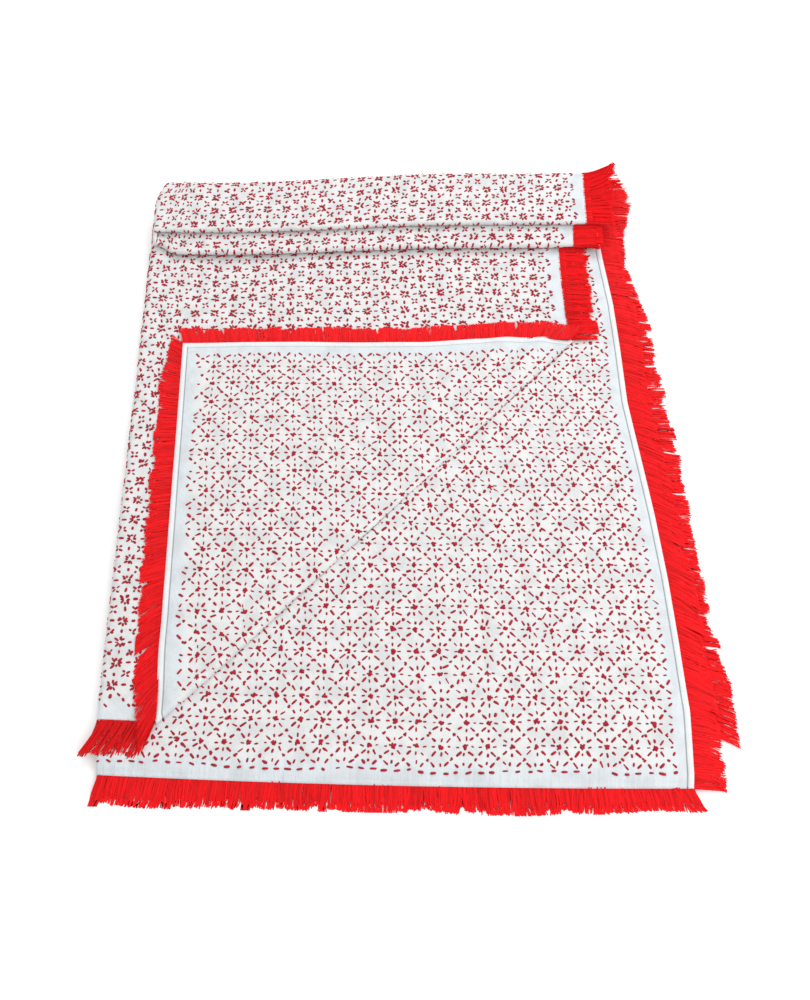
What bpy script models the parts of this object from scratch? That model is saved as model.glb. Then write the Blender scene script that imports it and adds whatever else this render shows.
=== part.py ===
"""A kantha quilt with red fringe trim, folded as it lies on a floor.

The quilt is one sheet. It is first drawn flat, inner face up, with the fold lines where a person makes
them. Then the same four folds are made in order:
1. the near corner of the upper half is turned back over itself along a diagonal;
2. the far half comes over the near half, inner faces together, at the crosswise fold;
3. the left half goes under the right half, at the lengthwise fold;
4. the far end of the four layers is turned over towards the viewer, as a soft roll.
The layers inside the roll have a shorter way round it, so their fold sticks out below the outer one.
Units are metres, +X right, +Y away from the viewer, +Z up. The part stands on z = 0, centred.
"""

import math

import bmesh
import bpy
import numpy as np
from mathutils import Vector

# Cloth
HALF_WIDTH = 0.594
THICKNESS = 0.0028
LAYER_PITCH = 0.0040
FAR_FOLD_Y = 1.069
NEAR_A_Y = 0.138
NEAR_B_Y = 0.193

# Lengthwise fold
SIDE_FOLD_X = -0.321
SIDE_RADIUS = LAYER_PITCH / 2

# Roll at the far end, with the bend radius of the innermost of its four layers
ROLL_Y = 0.9445
ROLL_RADIUS = 0.0026
INNER_REACH = 0.032
INNER_TAPER = 0.050
INNER_RAMP = 0.045

# Diagonal crease of the turned-back corner: where it meets the near edge and the side edge, and how
# far the corner gave along its bias as it was turned back
CREASE_NEAR_X = -0.269
CREASE_SIDE_X = 0.234
CREASE_SIDE_Y = 0.687
BIAS_STRETCH = 0.038

# How far the quilt lies off its centre line, in millimetres at each row of its mesh: first on the B
# and D side, from the near edge to the far fold, then on the A and C side
SHIFTS = (
    -56, -52.5, -50, -50, -48, -42, -37, -42, -41, -37, -29.5, -22.5,
    -17, 1.5, 18.5, 19, 22, 20, 17, 21, 25, 26.5, 25.5, 23.5, 14.5,
)

# How the folded stack lies on the floor
LEAN = -0.0304
NEAR_SLOPE = -0.0373
FAR_SLOPE = 0.0118
NEAR_BOW = 0.042
PUFF = 0.05
SETTLE_START_Y = 0.152
SETTLE_END_Y = 0.138

# Fringe trim
HEADING = 0.008
REACH_OUTER_UP = 0.037
REACH_INNER_UP = 0.029
LOCK_TIP_SHARE = 0.64
LOCK_LEAN = 0.002
SEAM_GAP = 0.0003
CORNER_GAP = 0.003
CREASE_GAP = 0.020
ROLL_MARGIN = 0.004
SHOWN_PITCH = 0.018
ROLL_PITCH = 0.026
HIDDEN_PITCH = 0.045
SIDE_DROP = 0.003

# Mesh
CELL = 0.075
ROLL_STEPS = 14
SIDE_STEPS = 9
FAR_STEPS = 4
CREASE_STEPS = 3

CLOTH_COLOUR = (0.84, 0.87, 0.91, 1.0)
FRINGE_COLOUR = (0.86, 0.012, 0.022, 1.0)

FAR_ARC = math.pi * LAYER_PITCH / 2
SIDE_ARC = math.pi * LAYER_PITCH * 1.5
OUTER_RADIUS = ROLL_RADIUS + 3 * LAYER_PITCH
ROLL_ARC = math.pi * OUTER_RADIUS
LENGTH_A = FAR_FOLD_Y - NEAR_A_Y
LENGTH_B = FAR_FOLD_Y + FAR_ARC - NEAR_B_Y
ROLL_START = FAR_FOLD_Y - ROLL_Y
COLUMNS = round(2 * HALF_WIDTH / CELL)
ROWS = len(SHIFTS) - 1


def smooth(x):
    """A soft step from 0 to 1."""
    x = np.clip(x, 0.0, 1.0)
    return x * x * (3 - 2 * x)


def shift(v):
    """Sideways offset of the sheet at distance v from the far fold, positive on the A and C side."""
    rows = np.linspace(-LENGTH_B, LENGTH_A, ROWS + 1)
    return np.interp(v, rows, SHIFTS) / 1000


def flat_xy(u, v):
    """Flat place of the point u across and v along the quilt, measured from its two fold lines."""
    return SIDE_FOLD_X + u + shift(v), FAR_FOLD_Y - v


def crease_line():
    """Start point and outward direction of the diagonal bend, in the flat sheet."""
    mirror = 2 * FAR_FOLD_Y + FAR_ARC
    near = np.array([CREASE_NEAR_X, mirror - NEAR_B_Y])
    side = np.array([CREASE_SIDE_X, mirror - CREASE_SIDE_Y])
    along = (side - near) / np.linalg.norm(side - near)
    return near, np.array([-along[1], along[0]])


def bend(points, start, outward, axis_z, reach, stretch=0.0):
    """Bends what lies beyond a line by half a turn, over a set reach, about an axis at a height."""
    s = (points[:, :2] - start) @ outward
    radius = np.abs(points[:, 2] - axis_z)
    over = np.where(points[:, 2] < axis_z, 1.0, -1.0)
    angle = np.clip(s / reach, 0.0, 1.0) * math.pi
    new_s = radius * np.sin(angle) - np.maximum(s - reach, 0.0) * (1 + stretch)
    moved = points.copy()
    moved[:, :2] += np.where(s > 0, new_s - s, 0.0)[:, None] * outward
    moved[:, 2] = np.where(s > 0, axis_z - over * radius * np.cos(angle), points[:, 2])
    return moved


def lay(points):
    """The gentle lean, slopes, bow, puff and settling of the folded stack on the floor."""
    x, y, z = points.T
    z = z + 2 * LAYER_PITCH + THICKNESS / 2
    slope = NEAR_SLOPE + (FAR_SLOPE - NEAR_SLOPE) * (y - NEAR_A_Y) / (ROLL_Y - NEAR_A_Y)
    new_x = x + LEAN * (y - NEAR_A_Y)
    new_y = y + slope * x + 0.002 * np.sin(x * 14.0 + 0.8) * smooth((y - 0.6) / 0.3)
    new_y += NEAR_BOW * x * x * smooth((0.40 - y) / 0.25)
    waves = np.sin(x * 11.0 + y * 7.0) * 0.5 + np.sin(x * 5.0 - y * 13.0 + 1.0) * 0.5
    rest = THICKNESS / 2
    lift = np.maximum(z - rest, 0.0)
    settle = LAYER_PITCH * smooth((SETTLE_START_Y - y) / (SETTLE_START_Y - SETTLE_END_Y))
    settle = settle * smooth(lift / LAYER_PITCH)
    new_z = rest + lift * (1 + PUFF * (1 + waves)) - settle
    return np.stack([new_x, new_y, np.where(z > rest, new_z, z)], axis=1)


def roll_over(points):
    """Turns the far end of the stack over, with the inner pair of layers reaching further back."""
    x, y, z = points.T
    s = y - ROLL_Y
    inner = (z > -LAYER_PITCH / 2) * smooth((x - SIDE_FOLD_X) / INNER_TAPER)
    angle = np.clip(s / OUTER_RADIUS, 0.0, math.pi)
    beyond = np.maximum(s - ROLL_ARC, 0.0)
    beyond = beyond + INNER_REACH * inner * smooth((s - ROLL_ARC) / INNER_RAMP)
    axis_z = LAYER_PITCH + ROLL_RADIUS
    new_y = ROLL_Y + (axis_z - z) * np.sin(angle) - beyond
    new_z = axis_z - (axis_z - z) * np.cos(angle)
    return np.stack([x, np.where(s > 0, new_y, y), np.where(s > 0, new_z, z)], axis=1)


def folded(flat, turned_back=True):
    """Place in the folded quilt of each point of the flat sheet, with or without the corner's fold."""
    points = np.column_stack([flat, np.zeros(len(flat))])
    start, outward = crease_line()
    if turned_back:
        points = bend(points, start, outward, -LAYER_PITCH / 2, FAR_ARC, BIAS_STRETCH)
    points = bend(points, np.array([0.0, FAR_FOLD_Y]), np.array([0.0, 1.0]), LAYER_PITCH / 2, FAR_ARC)
    points = bend(points, np.array([SIDE_FOLD_X, 0.0]), np.array([-1.0, 0.0]), -SIDE_RADIUS, SIDE_ARC)
    return lay(roll_over(points))


def normals(flat, turned_back=True):
    """Unit normal of the folded sheet's inner face at each point of the flat sheet."""
    step = 2e-5
    across, along = np.array([step, 0.0]), np.array([0.0, step])
    du = folded(flat + across, turned_back) - folded(flat - across, turned_back)
    dv = folded(flat + along, turned_back) - folded(flat - along, turned_back)
    n = np.cross(du, dv)
    return n / np.linalg.norm(n, axis=1)[:, None]


def cut(mesh, point, direction):
    """Adds an edge loop where a vertical plane crosses the flat mesh."""
    everything = list(mesh.verts) + list(mesh.edges) + list(mesh.faces)
    bmesh.ops.bisect_plane(
        mesh,
        geom=everything,
        dist=1e-5,
        plane_co=(point[0], point[1], 0.0),
        plane_no=(direction[0], direction[1], 0.0),
    )


def cut_folds(mesh, turned_back=True):
    """Cuts the flat mesh across every zone that a fold bends."""
    start, outward = crease_line()
    if turned_back:
        for i in range(CREASE_STEPS + 1):
            cut(mesh, start + outward * FAR_ARC * i / CREASE_STEPS, outward)
    cut(mesh, (0.0, SETTLE_START_Y), (0.0, 1.0))
    for i in range(FAR_STEPS + 1):
        cut(mesh, (0.0, FAR_FOLD_Y + FAR_ARC * i / FAR_STEPS), (0.0, 1.0))
    for i in range(SIDE_STEPS + 1):
        cut(mesh, (SIDE_FOLD_X - SIDE_ARC * i / SIDE_STEPS, 0.0), (1.0, 0.0))
    mirror = 2 * FAR_FOLD_Y + FAR_ARC
    for i in range(ROLL_STEPS + 1):
        y = ROLL_Y + ROLL_ARC * i / ROLL_STEPS
        cut(mesh, (0.0, y), (0.0, 1.0))
        cut(mesh, (0.0, mirror - y), (0.0, 1.0))


def tip_share(flat):
    """How far out along its lock each point of a side fringe lies, from 0 at the root to 1."""
    u = flat[:, 0] - SIDE_FOLD_X - shift(FAR_FOLD_Y - flat[:, 1])
    return smooth((np.abs(u) - HALF_WIDTH - HEADING) / (REACH_INNER_UP - HEADING))


def sheet_object(name, mesh, material, drop=0.0, turned_back=True):
    """Folds a flat mesh, gives it its thickness and makes it an object."""
    cut_folds(mesh, turned_back)
    bmesh.ops.dissolve_degenerate(mesh, dist=2e-5, edges=mesh.edges[:])
    bmesh.ops.triangulate(mesh, faces=mesh.faces[:])
    mesh.verts.ensure_lookup_table()
    mesh.verts.index_update()
    flat = np.array([v.co[:2] for v in mesh.verts], dtype=float)
    middle, normal = folded(flat, turned_back), normals(flat, turned_back)
    middle[:, 2] -= drop * tip_share(flat)
    upper = middle + normal * THICKNESS / 2
    lower = middle - normal * THICKNESS / 2
    solid = bmesh.new()
    top = [solid.verts.new(p) for p in upper]
    bottom = [solid.verts.new(p) for p in lower]
    for face in mesh.faces:
        ring = [v.index for v in face.verts]
        solid.faces.new([top[i] for i in ring])
        solid.faces.new([bottom[i] for i in reversed(ring)])
    for edge in mesh.edges:
        if len(edge.link_loops) == 1:
            a = edge.link_loops[0].vert.index
            b = edge.link_loops[0].link_loop_next.vert.index
            solid.faces.new([top[b], top[a], bottom[a]])
            solid.faces.new([top[b], bottom[a], bottom[b]])
    data = bpy.data.meshes.new(name)
    solid.to_mesh(data)
    solid.free()
    mesh.free()
    data.materials.append(material)
    obj = bpy.data.objects.new(name, data)
    bpy.context.scene.collection.objects.link(obj)
    return obj


def cloth_mesh():
    """The flat quilt as an even grid that the folds then cut."""
    mesh = bmesh.new()
    grid = []
    for v in np.linspace(-LENGTH_B, LENGTH_A, ROWS + 1):
        line = []
        for u in np.linspace(-HALF_WIDTH, HALF_WIDTH, COLUMNS + 1):
            x, y = flat_xy(u, v)
            line.append(mesh.verts.new((x, y, 0.0)))
        grid.append(line)
    for near, far in zip(grid, grid[1:]):
        for i in range(COLUMNS):
            mesh.faces.new([far[i], far[i + 1], near[i + 1], near[i]])
    return mesh


def edge_frame(edge, t, out):
    """Quilt coordinates of the place t along an edge and out beyond it."""
    beyond = out + SEAM_GAP
    return {
        "right": (HALF_WIDTH + beyond, t),
        "left": (-HALF_WIDTH - beyond, t),
        "near_a": (t, LENGTH_A + beyond),
        "near_b": (t, -LENGTH_B - beyond),
    }[edge]


def lock_ends(edge, start, stop, pitch):
    """Ends of the locks along a run, with one at each row or column of the cloth's mesh."""
    if edge in ("right", "left"):
        grid = np.linspace(-LENGTH_B, LENGTH_A, ROWS + 1)
    else:
        grid = np.linspace(-HALF_WIDTH, HALF_WIDTH, COLUMNS + 1)
    stops = [start] + [float(t) for t in grid if start + pitch / 2 < t < stop - pitch / 2] + [stop]
    ends = [start]
    for a, b in zip(stops, stops[1:]):
        count = max(1, round((b - a) / pitch))
        ends += [a + (b - a) * (i + 1) / count for i in range(count)]
    return ends


def fringe_mesh(edge, start, stop, pitch, reach):
    """A flat heading strip with one tapered lock for each step along it."""
    mesh = bmesh.new()

    def vertex(t, out):
        x, y = flat_xy(*edge_frame(edge, t, out))
        return mesh.verts.new((x, y, 0.0))

    def face(corners):
        made = mesh.faces.new(corners)
        made.normal_update()
        if made.normal.z < 0:
            made.normal_flip()

    ends = lock_ends(edge, start, stop, pitch)
    seam = [vertex(t, 0.0) for t in ends]
    root = [vertex(t, HEADING) for t in ends]
    for i, (a, b) in enumerate(zip(ends, ends[1:])):
        face([seam[i], seam[i + 1], root[i + 1], root[i]])
        length = (reach - HEADING) * (0.96 + 0.05 * math.sin(i * 2.4 + start * 40.0))
        centre = (a + b) / 2 + LOCK_LEAN * math.sin(i * 1.3 + start * 9.0)
        half = (b - a) * LOCK_TIP_SHARE / 2
        tip = [vertex(centre + side * half, HEADING + length) for side in (-1, 1)]
        face([root[i], root[i + 1], tip[1], tip[0]])
    return mesh


def crease_ends():
    """Where the diagonal crease meets the side edge and the near edge, in quilt coordinates."""
    side_v = -(FAR_FOLD_Y + FAR_ARC - CREASE_SIDE_Y)
    near_u = CREASE_NEAR_X - SIDE_FOLD_X - float(shift(-LENGTH_B))
    return side_v, near_u


def fringe_runs():
    """Each run of trim: node, quilt edge, start, stop, lock pitch, reach, tip drop, bent at the crease.

    The woven heading covers the cloth's edge on its outer face, so less of the trim shows beyond the
    edge where the inner face is up.
    """
    side_v, near_u = crease_ends()
    roll_a, roll_b = ROLL_START + ROLL_MARGIN, ROLL_START + FAR_ARC + ROLL_MARGIN
    fold_a, fold_b = -float(shift(LENGTH_A)), -float(shift(-LENGTH_B))
    near_a, near_b, side = LENGTH_A - CORNER_GAP, LENGTH_B - CORNER_GAP, HALF_WIDTH - CORNER_GAP
    gap, long, short = SEAM_GAP, REACH_OUTER_UP, REACH_INNER_UP
    shown, rolled, hidden = SHOWN_PITCH, ROLL_PITCH, HIDDEN_PITCH
    return (
        ("fringe_a_side", "right", roll_a, near_a, shown, short, SIDE_DROP, True),
        ("fringe_roll_upper", "right", gap - roll_b, roll_a - gap, rolled, long, 0.0, True),
        ("fringe_b_side", "right", side_v, -roll_b, shown, long, 0.0, False),
        ("fringe_flap_far", "right", -near_b, side_v - CREASE_GAP, shown, short, 0.0, True),
        ("fringe_c_side", "left", roll_a, near_a, hidden, short, 0.0, True),
        ("fringe_roll_lower", "left", gap - roll_b, roll_a - gap, rolled, long, 0.0, True),
        ("fringe_d_side", "left", -near_b, -roll_b, shown, long, 0.0, True),
        ("fringe_a_near", "near_a", fold_a, side, shown, short, 0.0, True),
        ("fringe_c_near", "near_a", -side, fold_a - SIDE_ARC, hidden, short, 0.0, True),
        ("fringe_b_near", "near_b", fold_b, near_u, shown, long, 0.0, False),
        ("fringe_flap_side", "near_b", near_u + CREASE_GAP, side, shown, short, 0.0, True),
        ("fringe_d_near", "near_b", -side, fold_b - SIDE_ARC, hidden, long, 0.0, True),
    )


def material(name, colour, roughness):
    made = bpy.data.materials.new(name)
    made.use_nodes = True
    shader = made.node_tree.nodes["Principled BSDF"]
    shader.inputs["Base Color"].default_value = colour
    shader.inputs["Roughness"].default_value = roughness
    shader.inputs["Metallic"].default_value = 0.0
    made.diffuse_color = colour
    return made


def centre_on_floor(objects):
    """Moves every mesh so that the whole part is centred over the origin."""
    corners = np.array([v.co for o in objects for v in o.data.vertices])
    middle = (corners.min(axis=0) + corners.max(axis=0)) / 2
    for obj in objects:
        for vertex in obj.data.vertices:
            vertex.co -= Vector((middle[0], middle[1], 0.0))


def main():
    for obj in list(bpy.data.objects):
        bpy.data.objects.remove(obj, do_unlink=True)
    cotton = material("white_cotton", CLOTH_COLOUR, 0.85)
    yarn = material("red_yarn", FRINGE_COLOUR, 0.80)
    objects = [sheet_object("quilt_cloth", cloth_mesh(), cotton)]
    for name, edge, start, stop, pitch, reach, drop, turned_back in fringe_runs():
        mesh = fringe_mesh(edge, start, stop, pitch, reach)
        objects.append(sheet_object(name, mesh, yarn, drop, turned_back))
    centre_on_floor(objects)


main()
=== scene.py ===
"""Kantha quilt with red fringe trim, folded on a pale floor.

The quilt is drawn flat in its own coordinates, u across and v along, and folded by the same four folds
as its solid. Running stitches, hem, heading tape and fringe are laid out in the same coordinates.
"""

import math
from collections import namedtuple
from functools import partial

import bmesh
import bpy
import numpy as np
from bpy.props import FloatProperty, FloatVectorProperty, IntProperty, PointerProperty
from bpy.types import Operator, Panel, PropertyGroup
from mathutils import Matrix, Vector


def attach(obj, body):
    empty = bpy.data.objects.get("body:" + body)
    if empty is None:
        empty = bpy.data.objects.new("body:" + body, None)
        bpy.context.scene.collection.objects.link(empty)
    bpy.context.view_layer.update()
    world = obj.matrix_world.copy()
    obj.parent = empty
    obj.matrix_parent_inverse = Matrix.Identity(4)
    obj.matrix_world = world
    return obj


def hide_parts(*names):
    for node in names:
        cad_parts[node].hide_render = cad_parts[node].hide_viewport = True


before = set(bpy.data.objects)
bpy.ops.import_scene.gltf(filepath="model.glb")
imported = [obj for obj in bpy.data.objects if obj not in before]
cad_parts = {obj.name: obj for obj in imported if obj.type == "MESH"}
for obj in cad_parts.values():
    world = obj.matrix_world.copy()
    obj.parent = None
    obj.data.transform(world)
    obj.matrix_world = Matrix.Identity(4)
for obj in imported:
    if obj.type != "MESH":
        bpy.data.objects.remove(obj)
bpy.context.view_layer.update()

bl_info = {
    "name": "Kantha Quilt",
    "version": (1, 0, 0),
    "blender": (4, 5, 0),
    "location": "3D View > Sidebar > Kantha",
    "description": "Builds a folded kantha quilt with running stitches and fringe trim",
    "category": "Object",
}

# Fold plan of the solid, in metres: the sheet, the spacing of its layers, its near ends and its folds
HALF_WIDTH = 0.594
SOLID_THICKNESS = 0.0028
LAYER_PITCH = 0.0040
FAR_FOLD_Y = 1.069
NEAR_A_Y = 0.138
NEAR_B_Y = 0.193
SIDE_FOLD_X = -0.321

# The roll at the far end: where it starts, the radius of its innermost layer, how far its inner pair
# reaches back, and over what widths that reach grows
ROLL_Y = 0.9445
ROLL_RADIUS = 0.0026
INNER_REACH = 0.032
INNER_TAPER = 0.035
INNER_RAMP = 0.045

# The diagonal crease: where it meets B's near edge and side, and how far the corner gave along its bias
CREASE_NEAR_X = -0.269
CREASE_SIDE_X = 0.234
CREASE_SIDE_Y = 0.687
BIAS_STRETCH = 0.038

# How the folded stack lies on the floor: its lean, its sloping and bowed ends, its puff and settling.
# A puff wave is its turn per metre to the right, its turn per metre away, and its start.
LEAN = -0.0304
NEAR_SLOPE = -0.0373
FAR_SLOPE = 0.0118
NEAR_BOW = 0.042
NEAR_BOW_END_Y = 0.40
NEAR_BOW_FADE = 0.25
FAR_WAVE = 0.002
FAR_WAVE_TURN = 14.0
FAR_WAVE_START = 0.8
FAR_WAVE_Y = 0.6
FAR_WAVE_FADE = 0.3
PUFF = 0.05
PUFF_WAVES = ((11.0, 7.0, 0.0), (5.0, -13.0, 1.0))
SETTLE_START_Y = 0.152
SETTLE_END_Y = 0.138

# How far the left fold is drawn in: more and more towards the roll, again near it, and again on it
SIDE_TUCK = 0.0085
END_TUCK = 0.009
END_TUCK_START = 0.030
END_TUCK_FADE = 0.040
ROLL_TUCK = 0.006
TUCK_WIDTH = 0.070

# Where the middle of the part's footprint lies in the fold plan
PART_ORIGIN = np.array([-0.00398906, 0.53218172, 0.0])

# Millimetres that the quilt lies off its centre line, row by row from the near edge of B to that of A
SHIFTS = (
    -56, -52.5, -50, -50, -48, -42, -37, -42, -41, -37, -29.5, -22.5,
    -17, 1.5, 18.5, 19, 22, 20, 17, 21, 25, 26.5, 25.5, 23.5, 14.5,
)

FAR_ARC = math.pi * LAYER_PITCH / 2
SIDE_ARC = math.pi * LAYER_PITCH * 1.5
OUTER_RADIUS = ROLL_RADIUS + 3 * LAYER_PITCH
ROLL_ARC = math.pi * OUTER_RADIUS
LENGTH_A = FAR_FOLD_Y - NEAR_A_Y
LENGTH_B = FAR_FOLD_Y + FAR_ARC - NEAR_B_Y
ROLL_START = FAR_FOLD_Y - ROLL_Y
MIRROR_Y = 2 * FAR_FOLD_Y + FAR_ARC
MIDDLE_V = (LENGTH_A - LENGTH_B) / 2
HALF_LENGTH = (LENGTH_A + LENGTH_B) / 2

# Stitch plan: columns and rows of the marked grid, and how far its outer lines lie inside the edges
GRID_COLUMNS = 47
GRID_ROWS = 71
SIDE_MARGIN = 0.0125
END_MARGIN = 0.0145
PITCH_U = (HALF_WIDTH - SIDE_MARGIN) * 2 / GRID_COLUMNS
PITCH_V = (HALF_LENGTH - END_MARGIN) * 2 / GRID_ROWS

# One thread of the plain weave and its gap
WEAVE_PITCH = 0.0011

# The pads between the stitches: their height shares by squares and by diamonds, how far inside the hem
# they reach full height, and the share of it that is pressed out beside the diagonal crease
SQUARE_PAD = 0.55
DIAMOND_PAD = 0.9
PAD_FADE = 0.006
PAD_LOSS = 0.6

# The hem on the inner face: its width, step and slope, and the seam line's place, depth and half width
HEM_WIDTH = 0.0062
HEM_STEP = 0.0004
HEM_SLOPE = 0.001
SEAM_INSET = HEM_WIDTH + 0.0004
SEAM_DEPTH = 0.0004
SEAM_HALF = 0.0011

# How far the cloth beside the diagonal crease is pressed down, and how wide
PRESS_UNDER = 0.0020
PRESS_OVER = 0.0039
PRESS_WIDTH = 0.060

# How far A swells up against the crease: the height and width of the swell, its rise off the crease, the
# stretch of the crease where it is full and the widths over which it grows and fades at both ends, its
# share nearer than that stretch, and its fading towards the quilt's edge
BANK_HEIGHT = 0.0027
BANK_WIDTH = 0.055
BANK_GAP = 0.0010
BANK_RISE = 0.0030
BANK_START = 0.18
BANK_GROWTH = 0.12
BANK_END = 0.66
BANK_FADE = 0.07
BANK_NEAR_SHARE = 0.25
BANK_NEAR_FADE = 0.06
BANK_EDGE_FADE = 0.04

# The turned-back corner's ripples, by distance from the crease: rise, first crest, length and fading,
# and where the swell that carries them ends
RIPPLE_RISE = 0.012
RIPPLE_CREST = 0.006
RIPPLE_LENGTH = 0.042
RIPPLE_END = 0.120
RIPPLE_FADE = 0.08
SWELL_END = 0.13
SWELL_FADE = 0.09

# Slow waves as rows of height, waves per metre across and along, and start: of the whole cloth, of the
# line that the ripples follow, and of the stitched lines, which drift across and along
UNEVEN_WAVES = (
    (0.00022, 5.3, 2.1, 0.4),
    (0.00018, -3.1, 6.7, 1.9),
    (0.00012, 9.7, -7.9, 2.6),
    (0.00010, 12.3, 10.1, 0.9),
)
RIPPLE_BEND_WAVES = ((0.010, 1.9, -1.3, 0.2), (0.006, -3.7, 2.9, 1.1))
DRIFT_ACROSS_WAVES = ((0.0009, 2.3, 5.1, 0.3), (0.0006, 11.0, 7.0, 1.0))
DRIFT_ALONG_WAVES = ((0.0009, 4.7, -2.9, 1.3), (0.0006, -6.0, 13.0, 2.0))

# The width beside the side fold over which A's swell and B's pressing begin, how high the lowest face
# lies off the floor, and how far the stitches under it stand out from it
FOLD_FADE = 0.02
FLOOR_GAP = 0.0006
FLOOR_PRESS = 0.0005

# How far past the far fold B shows, and how far past the middle of the roll D does
B_SHOWN = 0.012
D_SHOWN = 0.02

# The cloth's mesh: steps across a cell of the grid where it shows, the margin beyond what shows, cuts
# across each fold, the hem's first line, how near a cut takes a point that is there, and the smallest
# edges kept
FINE = 5
FINE_MARGIN = 0.016
FOLD_CUTS = 5
SIDE_CUTS = 9
ROLL_CUTS = 11
HEM_FIRST = 0.003
CUT_SNAP = 2e-4
SMALLEST_EDGE = 5e-5

# Which way the inner face of the sheet looks from its own middle
INNER = 1
OUTER = -1


# Kinds of setting in the sidebar
Length = partial(FloatProperty, unit="LENGTH")
Angle = partial(FloatProperty, subtype="ANGLE")
Colour = partial(FloatVectorProperty, subtype="COLOR")


class KanthaClothSettings(PropertyGroup):
    """Sizes and colours of the quilted cloth."""

    thickness: Length(name="Thickness", description="Thickness of the flat cloth", default=0.0018)
    pad_height: Length(
        name="Pad height", description="How far the cloth swells between its stitches", default=0.0007
    )
    ripple_height: Length(
        name="Ripple height", description="Height of the ripples beside the crease", default=0.0024
    )
    # White, in the stitched middle, is lighter than Border as painted light on its pads; Border also holds
    # the cotton's own bluish tone
    white: Colour(name="White", description="Colour of the cotton", default=(0.735, 0.735, 0.730))
    border: Colour(
        name="Border", description="Colour of the cotton along the edges", default=(0.672, 0.720, 0.751)
    )
    # This colour is painted shade, laid in mottled patches between the pads, and also the slubs' own darker
    # tone
    shade_and_slubs: Colour(
        name="Hollow", description="Colour of the cotton in its hollows", default=(0.50, 0.525, 0.54)
    )
    # The seam line's colour is partly its own grey stitching and partly painted shadow in the hem's groove
    seam: Colour(
        name="Seam", description="Colour of the hem's seam line", default=(0.27, 0.29, 0.32)
    )


class KanthaStitchSettings(PropertyGroup):
    """Sizes and colours of the running stitches."""

    width: Length(name="Thread width", description="Width of a stitch", default=0.0029)
    height: Length(name="Thread height", description="Height of a stitch", default=0.0007)
    wander: Length(name="Wander", description="How far a hand stitch strays from its line", default=0.0007)
    colour: Colour(name="Thread", description="Colour of the thread", default=(0.46, 0.0032, 0.020))
    seed: IntProperty(name="Seed", description="Choice of the hand's unevenness", default=7)


class KanthaFringeSettings(PropertyGroup):
    """Sizes and colours of the fringe trim."""

    strand_width: Length(name="Strand width", description="Width of one yarn", default=0.0016)
    strand_length: Length(name="Strand length", description="Length of a strand", default=0.0285)
    heading: Length(name="Heading", description="Width of the woven heading", default=0.008)
    colour: Colour(name="Yarn", description="Colour of the yarn", default=(1.0, 0.0045, 0.008))
    seed: IntProperty(name="Seed", description="Choice of the strands' unevenness", default=11)


class KanthaStageSettings(PropertyGroup):
    """Floor, lights and camera."""

    camera_height: Length(name="Camera height", description="Height of the camera", default=0.950)
    camera_pitch: Angle(
        name="Camera pitch", description="How far the camera looks down", default=math.radians(63.89)
    )
    camera_yaw: Angle(
        name="Camera yaw", description="How far the camera looks to the right", default=math.radians(-0.10)
    )
    camera_roll: Angle(
        name="Camera roll", description="How far the camera leans", default=math.radians(-1.10)
    )
    lens: FloatProperty(name="Lens", description="Focal length in millimetres", default=32.09)
    floor_colour: Colour(name="Floor", description="Colour of the floor", default=(0.98, 0.98, 0.98))
    sky: FloatProperty(name="Sky", description="Strength of the light from all round", default=0.88)
    key: FloatProperty(name="Key", description="Watts of the lamp beyond the quilt", default=20.0)
    fill: FloatProperty(name="Fill", description="Watts of the lamp at the right", default=24.0)


def smooth(x):
    """A soft step from 0 to 1."""
    x = np.clip(x, 0.0, 1.0)
    return x * x * (3 - 2 * x)


def shift(v):
    """Sideways offset of the sheet at distance v from the far fold."""
    return np.interp(v, np.linspace(-LENGTH_B, LENGTH_A, len(SHIFTS)), SHIFTS) / 1000


def flat_place(u, v):
    """Flat place, beside the fold lines, of the quilt's point u across and v along."""
    return np.column_stack([SIDE_FOLD_X + u + shift(v), FAR_FOLD_Y - v])


def quilt_place(flat):
    """Quilt coordinates, u across and v along, of a place in the flat plan."""
    v = FAR_FOLD_Y - flat[:, 1]
    return flat[:, 0] - SIDE_FOLD_X - shift(v), v


def mirrored(flat):
    """The place in the flat plan that comes to lie on the same spot once the far half is folded over."""
    return np.column_stack([flat[:, 0], MIRROR_Y - flat[:, 1]])


def crease_line():
    """Start point and outward direction of the diagonal bend, in the flat plan."""
    near = np.array([CREASE_NEAR_X, MIRROR_Y - NEAR_B_Y])
    side = np.array([CREASE_SIDE_X, MIRROR_Y - CREASE_SIDE_Y])
    along = (side - near) / np.linalg.norm(side - near)
    return near, np.array([-along[1], along[0]])


def beyond_crease(flat):
    """Distance of a place in the flat plan beyond the start of the diagonal bend."""
    start, outward = crease_line()
    return (flat - start) @ outward


def bend(points, start, outward, axis_z, reach, stretch=0.0):
    """Bends what lies beyond a line by half a turn, over a set reach, about an axis at a height."""
    s = (points[:, :2] - start) @ outward
    radius = np.abs(points[:, 2] - axis_z)
    over = np.where(points[:, 2] < axis_z, 1.0, -1.0)
    angle = np.clip(s / reach, 0.0, 1.0) * math.pi
    new_s = radius * np.sin(angle) - np.maximum(s - reach, 0.0) * (1 + stretch)
    moved = points.copy()
    moved[:, :2] += np.where(s > 0, new_s - s, 0.0)[:, None] * outward
    moved[:, 2] = np.where(s > 0, axis_z - over * radius * np.cos(angle), points[:, 2])
    return moved


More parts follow.
